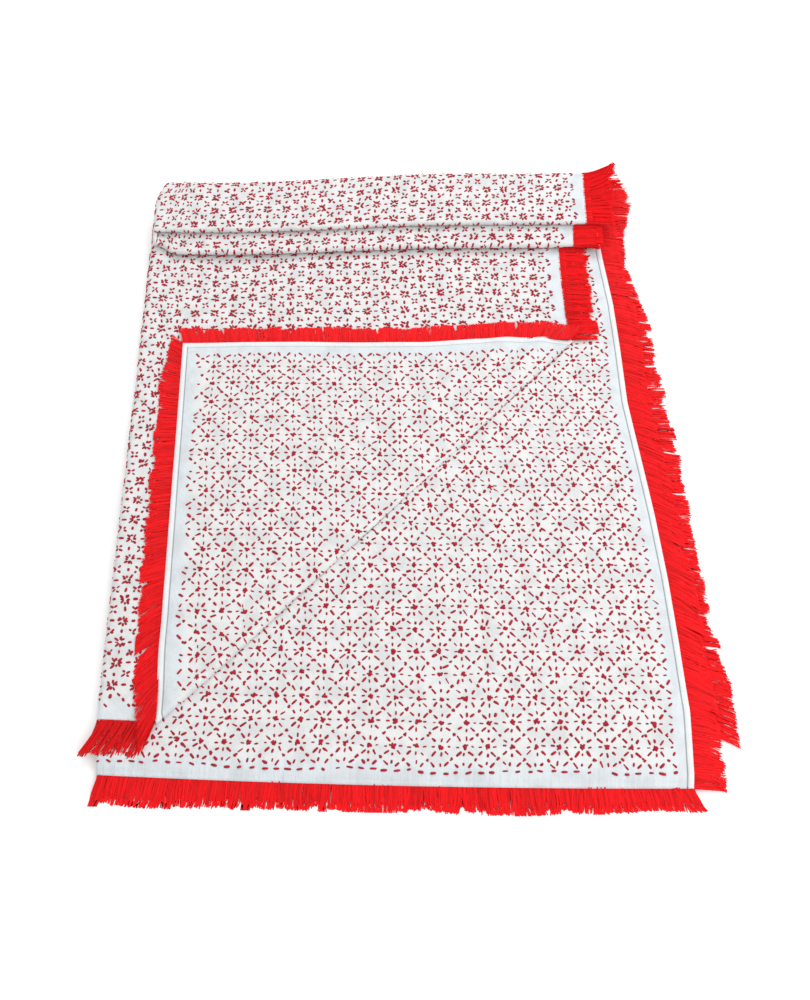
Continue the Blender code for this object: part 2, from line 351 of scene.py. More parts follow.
def roll_over(points):
    """Turns the far end of the stack over, with the inner pair of layers reaching further back."""
    x, y, z = points.T
    s = y - ROLL_Y
    inner = smooth(z / LAYER_PITCH + 1.0) * (0.5 + 0.5 * smooth((x - SIDE_FOLD_X) / INNER_TAPER))
    angle = np.clip(s / OUTER_RADIUS, 0.0, math.pi)
    beyond = np.maximum(s - ROLL_ARC, 0.0)
    beyond = beyond + INNER_REACH * inner * smooth((s - ROLL_ARC) / INNER_RAMP)
    axis_z = LAYER_PITCH + ROLL_RADIUS
    new_y = ROLL_Y + (axis_z - z) * np.sin(angle) - beyond
    new_z = axis_z - (axis_z - z) * np.cos(angle)
    return np.stack([x, np.where(s > 0, new_y, y), np.where(s > 0, new_z, z)], axis=1)


def side_tuck(x, y, z):
    """How far the left fold is drawn in."""
    on_roll = smooth((z - 4 * LAYER_PITCH) / (2 * LAYER_PITCH))
    tuck = SIDE_TUCK * (y - NEAR_A_Y) / (ROLL_Y - NEAR_A_Y) + ROLL_TUCK * on_roll
    tuck = tuck + END_TUCK * smooth((y - ROLL_Y + END_TUCK_START) / END_TUCK_FADE)
    return tuck * smooth((SIDE_FOLD_X + TUCK_WIDTH - x) / TUCK_WIDTH)


def lay(points, thickness):
    """The lean, slopes, bow, drawn-in left side, puff and settling of the folded stack on the floor."""
    x, y, z = points.T
    z = z + 2 * LAYER_PITCH + SOLID_THICKNESS / 2
    slope = NEAR_SLOPE + (FAR_SLOPE - NEAR_SLOPE) * (y - NEAR_A_Y) / (ROLL_Y - NEAR_A_Y)
    far_wave = FAR_WAVE * np.sin(x * FAR_WAVE_TURN + FAR_WAVE_START)
    new_x = x + LEAN * (y - NEAR_A_Y) + side_tuck(x, y, z)
    new_y = y + slope * x + far_wave * smooth((y - FAR_WAVE_Y) / FAR_WAVE_FADE)
    new_y += NEAR_BOW * x * x * smooth((NEAR_BOW_END_Y - y) / NEAR_BOW_FADE)
    waves = sum(np.sin(x * right + y * away + start) / 2 for right, away, start in PUFF_WAVES)
    rest = SOLID_THICKNESS / 2
    lift = np.maximum(z - rest, 0.0)
    sink = LAYER_PITCH * smooth((SETTLE_START_Y - y) / (SETTLE_START_Y - SETTLE_END_Y))
    sink = sink * smooth(lift / LAYER_PITCH)
    new_z = rest + lift * (1 + PUFF * (1 + waves)) - sink
    new_z = np.where(z > rest, new_z, z) - (SOLID_THICKNESS - thickness) / 2
    return np.stack([new_x, new_y, new_z], axis=1) - PART_ORIGIN


def wave_field(u, v, table):
    """Sum of plane waves: a row of the table is height, waves per metre across and along, and start."""
    return sum(h * np.sin(2 * math.pi * (a * u + b * v) + c) for h, a, b, c in table)


class Sheet:
    """The folded quilt as a surface: a point of it is u across, v along, a side, and a lift off it."""

    def __init__(self, cloth):
        self.thickness = cloth.thickness
        self.pad_height = cloth.pad_height
        self.ripple_height = cloth.ripple_height

    def fold(self, flat, turned_back=True):
        """Place in the folded quilt of each point of the flat sheet's middle."""
        start, outward = crease_line()
        far, side = np.array([0.0, FAR_FOLD_Y]), np.array([SIDE_FOLD_X, 0.0])
        points = np.column_stack([flat, np.zeros(len(flat))])
        if turned_back:
            points = bend(points, start, outward, -LAYER_PITCH / 2, FAR_ARC, BIAS_STRETCH)
        points = bend(points, far, np.array([0.0, 1.0]), LAYER_PITCH / 2, FAR_ARC)
        points = bend(points, side, np.array([-1.0, 0.0]), -LAYER_PITCH / 2, SIDE_ARC)
        return lay(roll_over(points), self.thickness)

    def normal(self, flat, turned_back=True):
        """Unit normal of the folded sheet's inner face."""
        step = 2e-5
        across, along = np.array([step, 0.0]), np.array([0.0, step])
        du = self.fold(flat + across, turned_back) - self.fold(flat - across, turned_back)
        dv = self.fold(flat + along, turned_back) - self.fold(flat - along, turned_back)
        n = np.cross(du, dv)
        return n / np.linalg.norm(n, axis=1)[:, None]

    def crease_distance(self, u, v):
        """Distance beyond the diagonal crease, in the flat plan."""
        return beyond_crease(flat_place(u, v)) - FAR_ARC / 2

    def relief(self, u, v):
        """How far the whole sheet is lifted towards its inner face: unevenness and the crease's ripples."""
        s = self.crease_distance(u, v) + wave_field(u, v, RIPPLE_BEND_WAVES)
        rise = smooth(s / RIPPLE_RISE)
        ripple = np.cos(2 * math.pi * (s - RIPPLE_CREST) / RIPPLE_LENGTH)
        ripple = ripple * rise * smooth((RIPPLE_END - s) / RIPPLE_FADE)
        swell = self.ripple_height / 2 * (1 + ripple) * rise * smooth((SWELL_END - s) / SWELL_FADE)
        return wave_field(u, v, UNEVEN_WAVES) + swell

    def crease_share(self, u, v):
        """1 at the crease, on B and on the corner turned back from it, and 0 away from it."""
        return smooth(1 - np.abs(self.crease_distance(u, v)) / PRESS_WIDTH) * (v < 0)

    def press(self, u, v):
        """How far B and the turned-back corner sink near the crease."""
        turned = smooth(self.crease_distance(u, v) / FAR_ARC + 0.5)
        return self.crease_share(u, v) * (PRESS_UNDER + (PRESS_OVER - PRESS_UNDER) * turned)

    def bank(self, u, v):
        """How far A swells up against the outside of the crease."""
        start, outward = crease_line()
        above = mirrored(flat_place(u, v)) - start
        s = above @ outward
        along = above @ np.array([outward[1], -outward[0]])
        swell = smooth((s - BANK_GAP) / BANK_RISE) * smooth((BANK_WIDTH - s) / BANK_WIDTH)
        full = BANK_NEAR_SHARE + (1 - BANK_NEAR_SHARE) * smooth((along - BANK_START) / BANK_GROWTH)
        ends = smooth(along / BANK_NEAR_FADE) * smooth((BANK_END - along) / BANK_FADE)
        inside = smooth(self.edge_distance(u, v) / BANK_EDGE_FADE) * (v > 0)
        return BANK_HEIGHT * swell * full * ends * inside

    def pads(self, u, v):
        """Swelling of each face between the lines of stitches, 0 on a line."""
        a = (u + HALF_WIDTH - SIDE_MARGIN) / PITCH_U
        b = (v + LENGTH_B - END_MARGIN) / PITCH_V
        square = np.abs(np.sin(math.pi * a)) * np.abs(np.sin(math.pi * b))
        diamond = np.abs(np.sin(math.pi * (a + b))) * np.abs(np.sin(math.pi * (a - b)))
        return self.pad_height * (SQUARE_PAD * np.sqrt(square) + DIAMOND_PAD * np.sqrt(square * diamond))

    def edge_distance(self, u, v):
        """Distance inside the nearest edge of the quilt."""
        return np.minimum(HALF_WIDTH - np.abs(u), HALF_LENGTH - np.abs(v - MIDDLE_V))

    def half_thickness(self, u, v, side):
        """Half the cloth's thickness on one side, with its pads, and its hem and seam on the inner face."""
        field = smooth((self.edge_distance(u, v) - HEM_WIDTH) / PAD_FADE)
        swell = self.pads(u, v) * field * (1 - PAD_LOSS * self.crease_share(u, v))
        if side == OUTER:
            return self.thickness / 2 + swell
        edge = np.minimum(HALF_WIDTH - np.abs(u), v + LENGTH_B)
        hem = HEM_STEP * smooth((HEM_WIDTH - edge) / HEM_SLOPE)
        seam = SEAM_DEPTH * (1 - smooth(np.abs(edge - SEAM_INSET) / SEAM_HALF))
        return self.thickness / 2 + swell + hem - seam

    def at(self, u, v, side=0, lift=0.0, turned_back=True):
        """Points of the folded sheet. Side 0 is its middle, INNER and OUTER its two faces."""
        flat = flat_place(u, v)
        middle, normal = self.fold(flat, turned_back), self.normal(flat, turned_back)
        u = np.clip(u, -HALF_WIDTH, HALF_WIDTH)
        v = np.clip(v, -LENGTH_B, LENGTH_A)
        right_half = smooth((flat[:, 0] - SIDE_FOLD_X) / FOLD_FADE)
        middle[:, 2] += (self.bank(u, v) - self.press(u, v)) * right_half
        face = side * (self.half_thickness(u, v, side) + lift) if side else lift
        placed = middle + normal * (self.relief(u, v) + face)[:, None]
        placed[:, 2] = np.maximum(placed[:, 2], FLOOR_GAP - np.clip(lift, -FLOOR_PRESS, FLOOR_PRESS))
        return placed


def under_b(u, v, margin):
    """Whether a point of layer A lies under layer B, further in than the margin."""
    above = mirrored(flat_place(u, v))
    u_b, v_b = quilt_place(above)
    inside = (np.abs(u_b) < HALF_WIDTH - margin) & (v_b > margin - LENGTH_B)
    return inside & (beyond_crease(above) < -margin)


def under_flap(u, v, margin):
    """Whether a point of layer B lies under the turned-back corner, further in than the margin."""
    flat = flat_place(u, v)
    s = beyond_crease(flat)
    back = (FAR_ARC - s / (1 + BIAS_STRETCH) - s)[:, None] * crease_line()[1]
    u_corner, v_corner = quilt_place(flat + back)
    return (np.abs(u_corner) < HALF_WIDTH - margin) & (v_corner > margin - LENGTH_B)


def shown_faces(u, v, margin):
    """Whether the inner face shows, the outer face shows from above, and the outer face is beneath."""
    flat = flat_place(u, v)
    s = beyond_crease(flat)
    right = flat[:, 0] > SIDE_FOLD_X - margin
    on_a, on_b = right & (v > 0), right & (v <= 0)
    on_d = (flat[:, 0] < SIDE_FOLD_X + margin) & (v <= 0)
    rolled = np.abs(v) < ROLL_START
    inner = (on_a & ~rolled & ~under_b(u, v, margin)) | (on_b & (s > -FAR_ARC / 2))
    outer = on_b & ~rolled & (s < FAR_ARC) & ~under_flap(u, v, margin)
    outer |= on_a & (v < INNER_REACH + margin)
    outer |= on_b & (v > -B_SHOWN)
    outer |= on_d & (v > -ROLL_START - ROLL_ARC / 2 - D_SHOWN)
    return inner, outer, on_d & ~outer


class Socket:
    """One output of a shader node, so that shader maths reads as plain expressions."""

    def __init__(self, shader, socket):
        self.shader = shader
        self.socket = socket

    def maths(self, operation, *others):
        return self.shader.node("ShaderNodeMath", {"operation": operation}, self, *others)

    def __add__(self, other):
        return self.maths("ADD", other)

    def __sub__(self, other):
        return self.maths("SUBTRACT", other)

    def __rsub__(self, other):
        return self.shader.node("ShaderNodeMath", {"operation": "SUBTRACT"}, other, self)

    def __mul__(self, other):
        return self.maths("MULTIPLY", other)

    __radd__ = __add__
    __rmul__ = __mul__

    def __abs__(self):
        return self.maths("ABSOLUTE")

    def sin(self):
        return self.maths("SINE")

    def smallest(self, other):
        return self.maths("MINIMUM", other)

    def largest(self, other):
        return self.maths("MAXIMUM", other)

    def step(self, low, high):
        """0 below the first value and 1 above the second, softly in between."""
        settings = {"interpolation_type": "SMOOTHSTEP"}
        return self.shader.node("ShaderNodeMapRange", settings, self, low, high, 0.0, 1.0)


class Shader:
    """One material's nodes. Its node method makes each of them."""

    def __init__(self, name, roughness, sheen=0.0):
        self.material = bpy.data.materials.new(name)
        self.material.use_nodes = True
        self.tree = self.material.node_tree
        self.surface = self.tree.nodes["Principled BSDF"]
        self.surface.inputs["Roughness"].default_value = roughness
        self.surface.inputs["Specular IOR Level"].default_value = 0.25
        self.surface.inputs["Sheen Weight"].default_value = sheen
        self.surface.inputs["Sheen Roughness"].default_value = 0.5

    def node(self, kind, settings, *values, output=0):
        made = self.tree.nodes.new(kind)
        for name, value in settings.items():
            setattr(made, name, value)
        sockets = [s for s in made.inputs if s.enabled]
        for socket, value in zip(sockets, values):
            self.plug(socket, value)
        return Socket(self, [s for s in made.outputs if s.enabled][output])

    def plug(self, socket, value):
        if isinstance(value, Socket):
            self.tree.links.new(value.socket, socket)
        elif value is not None:
            socket.default_value = value

    def colour(self, value):
        return value if isinstance(value, Socket) else (*value, 1.0)

    def mix(self, share, first, second):
        values = share, self.colour(first), self.colour(second)
        return self.node("ShaderNodeMix", {"data_type": "RGBA"}, *values)

    def cloth_place(self):
        """The quilt's own coordinates, and apart its u across and its v from the middle of its length."""
        place = self.node("ShaderNodeUVMap", {"uv_map": "cloth"})
        u, v = (self.node("ShaderNodeSeparateXYZ", {}, place, output=n) for n in (0, 1))
        return place, u, v

    def object_place(self):
        return self.node("ShaderNodeTexCoord", {}, output=3)

    def attribute(self, name):
        return self.node("ShaderNodeAttribute", {"attribute_name": name}, output=2)

    def noise(self, place, scale, detail=2.0):
        return self.node("ShaderNodeTexNoise", {}, place, scale, detail)

    def streaks(self, place, across, along):
        """Noise drawn out into streaks: how many fit into a metre across and along."""
        scale = across, along, 1.0
        return self.noise(self.node("ShaderNodeVectorMath", {"operation": "MULTIPLY"}, place, scale), 1.0)

    def finish(self, colour, height, depth):
        """Joins the colour, the height field for the bump, and its depth in metres to the surface."""
        self.plug(self.surface.inputs["Base Color"], colour)
        normal = self.node("ShaderNodeBump", {}, 1.0, depth, None, height)
        self.plug(self.surface.inputs["Normal"], normal)
        return self.material


def toned(colour, share):
    """A colour made lighter or darker by a share."""
    return tuple(min(1.0, c * share) for c in colour)


def cotton_material(cloth):
    """Plain-weave cotton: threads, slubs, puckers beside the stitches, the hem's seam, and painted shade
    and light.
    """
    shader = Shader("kantha_cotton", roughness=0.9, sheen=0.08)
    place, u, v = shader.cloth_place()
    thread_turn = 2 * math.pi / WEAVE_PITCH
    threads = (u * thread_turn).sin() * (v * thread_turn).sin()
    slubs = shader.streaks(place, 60.0, 900.0) + shader.streaks(place, 900.0, 60.0)
    crumple = shader.noise(place, 130.0, 4.0)
    pleats = shader.streaks(place, 170.0, 9.0) * (HALF_LENGTH - v).step(0.035, 0.008)
    shade_mottle = shader.noise(place, 45.0, 3.0).step(0.38, 0.68)
    side, end = HALF_WIDTH - abs(u), v + HALF_LENGTH
    edge = side.smallest(end)
    inner = shader.attribute("inner_face")
    # The seam line: partly its own grey stitching, partly painted shadow in the hem's groove
    side_seam, end_seam = (1 - abs(x - SEAM_INSET).step(0.0003, 0.0010) for x in (side, end))
    faint = 0.35 + 0.65 * v.step(-0.1, 0.0)
    seam = (side_seam * faint).largest(end_seam) * edge.step(HEM_WIDTH - HEM_SLOPE, HEM_WIDTH) * inner
    hem = (HEM_WIDTH - edge).step(-0.0002, 0.0005) * inner
    # The stitched middle is painted lighter than the plain border, as light on its pads; the border's
    # bluish tone is the cotton's own
    border = edge.smallest(HALF_LENGTH - v).step(0.030, 0.014)
    tone = shader.mix(border, cloth.white, cloth.border)
    # Painted shade in mottled patches, and the slubs' own darker tone
    tone = shader.mix(shade_mottle * 0.4 + slubs * 0.12, tone, cloth.shade_and_slubs)
    # Painted highlight: the raised hem band on the inner face is made lighter
    tone = shader.mix(hem * 0.5, tone, toned(cloth.white, 1.12))
    colour = shader.mix(seam * 0.8, tone, cloth.seam)
    height = threads * 0.10 + slubs * 0.30 + crumple * 1.8 + pleats * 2.5 - seam * 0.6
    return shader.finish(colour, height, 0.0006)


def thread_material(stitch):
    """Stranded embroidery thread with a slight twist."""
    shader = Shader("crimson_thread", roughness=0.62, sheen=0.1)
    grain = shader.noise(shader.object_place(), 1500.0, 2.0)
    share = shader.attribute("shade") * 0.6 + grain * 0.4
    return shader.finish(shader.mix(share, toned(stitch.colour, 0.62), stitch.colour), grain, 0.0002)


def yarn_material(fringe):
    """Soft twisted cotton yarn: strands vary in their own tone, with painted shade between them and at
    their roots.
    """
    shader = Shader("red_yarn", roughness=0.85, sheen=0.04)
    twist = shader.noise(shader.object_place(), 1100.0, 2.0)
    # Painted shade: some strands darker at random, as between strands, and every strand darker towards its
    # root
    share = shader.attribute("shade") * 0.55 + twist * 0.25 + shader.attribute("along") * 0.2
    return shader.finish(shader.mix(share, toned(fringe.colour, 0.47), fringe.colour), twist, 0.0002)


def floor_material(stage):
    """Matt pale paper."""
    shader = Shader("pale_floor", roughness=0.95)
    grain = shader.noise(shader.object_place(), 90.0, 3.0)
    colour = shader.mix(grain, stage.floor_colour, toned(stage.floor_colour, 0.985))
    return shader.finish(colour, grain, 0.00005)


def new_object(name, points, faces, material, attributes=(), smooth_faces=True):
    """A mesh object from arrays of points and faces, with a number per point for each attribute."""
    data = bpy.data.meshes.new(name)
    data.from_pydata(points.tolist(), [], faces)
    for key, values in attributes:
        layer = data.attributes.new(key, "FLOAT", "POINT")
        layer.data.foreach_set("value", np.asarray(values, dtype=np.float32))
    data.materials.append(material)
    if smooth_faces:
        data.shade_smooth()
    obj = bpy.data.objects.new(name, data)
    bpy.context.scene.collection.objects.link(obj)
    return obj


def settle(obj, slot, *nodes):
    """Puts a finished piece on the part: its body, and the solids it stands for, which it hides. The slot
    is not used.
    """
    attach(obj, "root")
    if nodes:
        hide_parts(*nodes)
    return obj


def grid_lines(half, margin, count):
    """Places across the sheet of its edges, hem and fine grid lines, and how many lie before the grid."""
    grid = np.linspace(margin - half, half - margin, count * FINE + 1)
    border = np.array([0.0, HEM_FIRST, SEAM_INSET - SEAM_HALF, SEAM_INSET, SEAM_INSET + SEAM_HALF])
    return np.concatenate([border - half, grid, (half - border)[::-1]]), len(border)


def grid_place(i, j):
    """Quilt coordinates of a place on the stitch grid."""
    return SIDE_MARGIN - HALF_WIDTH + i * PITCH_U, END_MARGIN - LENGTH_B + j * PITCH_V


def cell_steps():
    """Steps across each cell of the stitch grid: fine where the cloth shows from above, otherwise one."""
    i, j = np.meshgrid(np.arange(GRID_COLUMNS), np.arange(GRID_ROWS), indexing="ij")
    inner, outer, _ = shown_faces(*grid_place(i.ravel() + 0.5, j.ravel() + 0.5), FINE_MARGIN)
    return np.where(inner | outer, FINE, 1).reshape(i.shape)


def cloth_faces(steps, first, across, along):
    """Faces of the flat cloth as rings of grid positions, which agree along the sides that they share."""
    around = np.pad(steps, 1, constant_values=1).tolist()
    faces = []
    for i, j in np.ndindex(steps.shape):
        own = around[i + 1][j + 1]
        beside = around[i + 1][j], around[i + 2][j + 1], around[i + 1][j + 2], around[i][j + 1]
        size = FINE // own
        for p, q in np.ndindex(own, own):
            outermost = q == 0, p == own - 1, q == own - 1, p == 0
            finer = [max(own, other) if out else own for other, out in zip(beside, outermost)]
            faces.append(cell_ring(first + i * FINE + p * size, first + j * FINE + q * size, size, finer))
    return faces + border_faces(steps, first, across, along)


def cell_ring(x, y, size, finer):
    """Corners of one square face, with the points that finer neighbours add along its four sides."""
    low, right, high, left = (FINE // steps for steps in finer)
    ring = [(x + k, y) for k in range(0, size, low)]
    ring += [(x + size, y + k) for k in range(0, size, right)]
    ring += [(x + size - k, y + size) for k in range(0, size, high)]
    ring += [(x, y + size - k) for k in range(0, size, left)]
    return ring


def border_faces(steps, first, across, along):
    """Faces of the hem border, in the steps of the cells beside it."""

    def stops(cells):
        end = first + len(cells) * FINE
        grid = [first + k * FINE + n for k, own in enumerate(cells) for n in range(0, FINE, FINE // own)]
        return [*range(first), *grid, *range(end, end + first + 1)]

    last_x, last_y = across - 1 - first, along - 1 - first
    faces = []
    for cells, band in ((steps[:, 0], range(first)), (steps[:, -1], range(last_y, along - 1))):
        places = stops(cells)
        for y in band:
            faces += [[(a, y), (b, y), (b, y + 1), (a, y + 1)] for a, b in zip(places, places[1:])]
    for cells, band in ((steps[0], range(first)), (steps[-1], range(last_x, across - 1))):
        places = [place for place in stops(cells) if first <= place <= last_y]
        for x in band:
            faces += [[(x, a), (x + 1, a), (x + 1, b), (x, b)] for a, b in zip(places, places[1:])]
    return faces


def cut(mesh, x, y, direction):
    """Adds an edge loop where a line across a direction crosses the flat mesh."""
    everything = list(mesh.verts) + list(mesh.edges) + list(mesh.faces)
    place, normal = (x, y, 0.0), (*direction, 0.0)
    bmesh.ops.bisect_plane(mesh, geom=everything, dist=CUT_SNAP, plane_co=place, plane_no=normal)


def cut_folds(mesh):
    """Cuts the flat mesh where a fold bends it tightly."""
    start, outward = crease_line()
    for reach in np.linspace(0.0, FAR_ARC, FOLD_CUTS):
        cut(mesh, *(start + outward * reach), outward)
        cut(mesh, 0.0, FAR_FOLD_Y + reach, (0.0, 1.0))
    for reach in np.linspace(0.0, SIDE_ARC, SIDE_CUTS):
        cut(mesh, SIDE_FOLD_X - reach, 0.0, (1.0, 0.0))
    for y in np.linspace(ROLL_Y, ROLL_Y + ROLL_ARC, ROLL_CUTS):
        cut(mesh, 0.0, y, (0.0, 1.0))
        cut(mesh, 0.0, MIRROR_Y - y, (0.0, 1.0))


def flat_cloth():
    """The flat quilt as a mesh, cut along its folds."""
    u_lines, first = grid_lines(HALF_WIDTH, SIDE_MARGIN, GRID_COLUMNS)
    v_lines, _ = grid_lines(HALF_LENGTH, END_MARGIN, GRID_ROWS)
    faces = cloth_faces(cell_steps(), first, len(u_lines), len(v_lines))
    keys = sorted({key for ring in faces for key in ring})
    columns, rows = np.array(keys).T
    mesh = bmesh.new()
    places = flat_place(u_lines[columns], v_lines[rows] + MIDDLE_V)
    verts = {key: mesh.verts.new((x, y, 0.0)) for key, (x, y) in zip(keys, places)}
    for ring in faces:
        mesh.faces.new([verts[key] for key in reversed(ring)])
    cut_folds(mesh)
    bmesh.ops.dissolve_degenerate(mesh, dist=SMALLEST_EDGE, edges=mesh.edges[:])
    bmesh.ops.triangulate(mesh, faces=[face for face in mesh.faces if len(face.verts) > 4])
    return mesh


def cloth_object(sheet, material):
    """The quilted cloth: two faces of one closed sheet."""
    mesh = flat_cloth()
    mesh.verts.index_update()
    u, v = quilt_place(np.array([vert.co[:2] for vert in mesh.verts]))
    count = len(u)
    points = np.concatenate([sheet.at(u, v, INNER), sheet.at(u, v, OUTER)])
    faces = []
    for face in mesh.faces:
        ring = [vert.index for vert in face.verts]
        faces += [ring, [count + k for k in reversed(ring)]]
    for edge in mesh.edges:
        if len(edge.link_loops) == 1:
            loop = edge.link_loops[0]
            a, b = loop.vert.index, loop.link_loop_next.vert.index
            faces.append([b, a, a + count, b + count])
    mesh.free()
    inner = np.repeat([1.0, 0.0], count)
    obj = new_object("quilted_cloth", points, faces, material, (("inner_face", inner),))
    uv = obj.data.uv_layers.new(name="cloth")
    corners = np.zeros(len(obj.data.loops), dtype=np.int32)
    obj.data.loops.foreach_get("vertex_index", corners)
    own = np.tile(np.column_stack([u, v - MIDDLE_V]), (2, 1))
    uv.data.foreach_set("uv", own[corners].astype(np.float32).ravel())
    return obj


# Where the thread lies along one step of a line, face by face, as shares of the grid's pitch
SQUARE_SPANS = (
    (OUTER, 0.08, 0.22),
    (INNER, 0.24, 0.38),
    (OUTER, 0.41, 0.59),
    (INNER, 0.62, 0.76),
    (OUTER, 0.78, 0.92),
)
DIAGONAL_SPANS = (
    (OUTER, 0.08, 0.28),
    (INNER, 0.265, 0.50),
    (OUTER, 0.49, 0.65),
    (INNER, 0.645, 0.77),
    (OUTER, 0.764, 0.924),
    (INNER, 0.92, 1.14),
    (OUTER, 1.134, 1.334),
)
PLAIN_SPANS = (
    (INNER, 0.14, 0.36),
    (OUTER, 0.39, 0.61),
    (INNER, 0.64, 0.86),
    (OUTER, 0.89, 1.11),
)

# Each way a line steps over the grid: its columns and rows, its thread, and its width on the inner face
LINE_STEPS = (
    (1, 0, SQUARE_SPANS, 0.72),
    (0, 1, SQUARE_SPANS, 0.86),
    (1, 1, DIAGONAL_SPANS, 1.04),
    (-1, 1, DIAGONAL_SPANS, 1.04),
)

# Widths of the stitches on the outer face, at the grid's points and in the plain last row, and half the
# length of those at the points as a share of the grid's pitch
OUTER_WIDTH = 1.1
NODE_WIDTH = 1.1
PLAIN_WIDTH = 0.9
NODE_HALF = 0.10

# How unevenly a hand sews: stitches turned, lengthened and widened, and the share left out, which is
# larger in the last rows at the near end of B
TURN_SPREAD = 0.17
GROWTH = 1.15
GROWTH_SPREAD = 0.17
GROWTH_LIMITS = (0.65, 1.55)
WIDTH_SPREAD = 0.12
WIDTH_LIMITS = (0.65, 1.35)
LEFT_OUT = 0.01
END_LEFT_OUT = 0.3
END_ROWS = 0.7

# How far a stitch's underside lies in the cloth, how much its ends taper, how widely its rings stand,
# and how much higher the lightest stitches lie
THREAD_SUNK = -0.0002
THREAD_TAPER = 0.35
RING_SPREADS = {2: 2.3, 3: 1.62}
SHADE_LIFT = 0.0003

# How far under another layer's edge stitches are still sewn
STITCH_MARGIN = 0.012


def stitch_rows(i, j, step, span, face, width):
    """Stitches that cover a span of one step from each of many grid places, on one face."""
    ends = [grid_place(i + step[0] * share, j + step[1] * share) for share in span]
    return np.column_stack([*ends[0], *ends[1], np.full(len(i), face), np.full(len(i), width)])


def stitch_ends():
    """Start and end of every stitch, its face and its width share, as six columns."""
    rows = []
    i, j = np.meshgrid(np.arange(GRID_COLUMNS + 1), np.arange(GRID_ROWS + 1), indexing="ij")
    i, j = i.ravel(), j.ravel()
    off_sides, off_ends = (i > 0) & (i < GRID_COLUMNS), (j > 0) & (j < GRID_ROWS)
    for di, dj, spans, inner_width in LINE_STEPS:
        inside = (i + di >= 0) & (i + di <= GRID_COLUMNS) & (j + dj <= GRID_ROWS)
        usual = inside & ((dj != 0) | off_ends) & ((di != 0) | off_sides)
        node = usual & off_sides & off_ends
        plain = inside & (dj == 0) & (j == GRID_ROWS)
        reach = math.hypot(di, dj)
        widths = {INNER: inner_width, OUTER: OUTER_WIDTH}
        kinds = [(usual, face, a / reach, b / reach, widths[face]) for face, a, b in spans]
        kinds.append((node, INNER, -NODE_HALF / reach, NODE_HALF / reach, NODE_WIDTH))
        kinds += [(plain, face, a, b, PLAIN_WIDTH) for face, a, b in PLAIN_SPANS]
        for chosen, face, a, b, width in kinds:
            rows.append(stitch_rows(i[chosen], j[chosen], (di, dj), (a, b), face, width))
    return np.concatenate(rows)


def uneven_stitches(stitches, settings):
    """The same stitches as a hand sews them: a little off, longer, shorter or turned."""
    rng = np.random.default_rng(settings.seed)
    count = len(stitches)
    middle = (stitches[:, 0:2] + stitches[:, 2:4]) / 2
    half = (stitches[:, 2:4] - stitches[:, 0:2]) / 2
    drift = [wave_field(*middle.T, waves) for waves in (DRIFT_ACROSS_WAVES, DRIFT_ALONG_WAVES)]
    middle = middle + np.column_stack(drift) + rng.normal(0.0, settings.wander, (count, 2))
    turn = rng.normal(0.0, TURN_SPREAD, count)
    grow = rng.normal(GROWTH, GROWTH_SPREAD, count).clip(*GROWTH_LIMITS)
    cos, sin = np.cos(turn) * grow, np.sin(turn) * grow
    half = np.column_stack([half[:, 0] * cos - half[:, 1] * sin, half[:, 0] * sin + half[:, 1] * cos])
    width = stitches[:, 5] * rng.normal(1.0, WIDTH_SPREAD, count).clip(*WIDTH_LIMITS)
    shade = rng.uniform(0.0, 1.0, count)
    at_end = middle[:, 1] < grid_place(0, END_ROWS)[1]
    kept = rng.uniform(0.0, 1.0, count) > np.where(at_end, END_LEFT_OUT, LEFT_OUT)
    return middle - half, middle + half, width, shade, kept


def repeated_faces(local, count, per, flip):
    """One piece's faces for each of many copies with the same number of points, four corners first."""
    starts = np.arange(count)[:, None] * per
    found = []
    for corners in (4, 3):
        rings = [ring[::-1] if flip else ring for ring in local if len(ring) == corners]
        found += np.concatenate([starts + np.array(ring) for ring in rings]).tolist()
    return found


def tube_faces(rings, first):
    """Faces between the rings, of three points each, of a stitch or strand whose first ring is given."""
    found = []
    for low in range(first, first + (rings - 1) * 3, 3):
        for side, other in ((0, 1), (1, 2), (2, 0)):
            found.append((low + side, low + other, low + 3 + other, low + 3 + side))
    return found


def thread_faces(rings):
    """Faces of one stitch: its rings and the fans at its two tips."""
    last = 1 + (rings - 1) * 3
    found = tube_faces(rings, 1)
    for side, other in ((0, 1), (1, 2), (2, 0)):
        found += [(0, 1 + other, 1 + side), (last + 3, last + side, last + other)]
    return found


def thread_mesh(sheet, ends, width, shade, face, settings, rings):
    """Points and faces of stitches: rings of three points between two sunken tips."""
    start, stop = ends
    along = stop - start
    length = np.linalg.norm(along, axis=1)
    across = np.column_stack([-along[:, 1], along[:, 0]]) / length[:, None]
    half = (settings.width / 2 * width)[:, None]
    sunk = np.full(len(start), THREAD_SUNK)

    def place(share, side, up):
        at = start + along * share + across * half * side
        return sheet.at(*at.T, face, up)

    blocks = [place(0.0, 0.0, sunk)]
    shares = np.linspace(0.0, 1.0, rings + 2)[1:-1]
    for share in 0.5 + (shares - 0.5) * RING_SPREADS[rings]:
        swell = 1.0 - THREAD_TAPER * (2 * share - 1) ** 2
        top = settings.height * width * swell + shade * SHADE_LIFT
        blocks += [place(share, side * swell, up) for side, up in ((-1.0, sunk), (0.0, top), (1.0, sunk))]
    blocks.append(place(1.0, 0.0, sunk))
    points = np.stack(blocks, axis=1).reshape(-1, 3)
    faces = repeated_faces(thread_faces(rings), len(start), len(blocks), face == OUTER)
    return points, faces, np.repeat(shade, len(blocks))


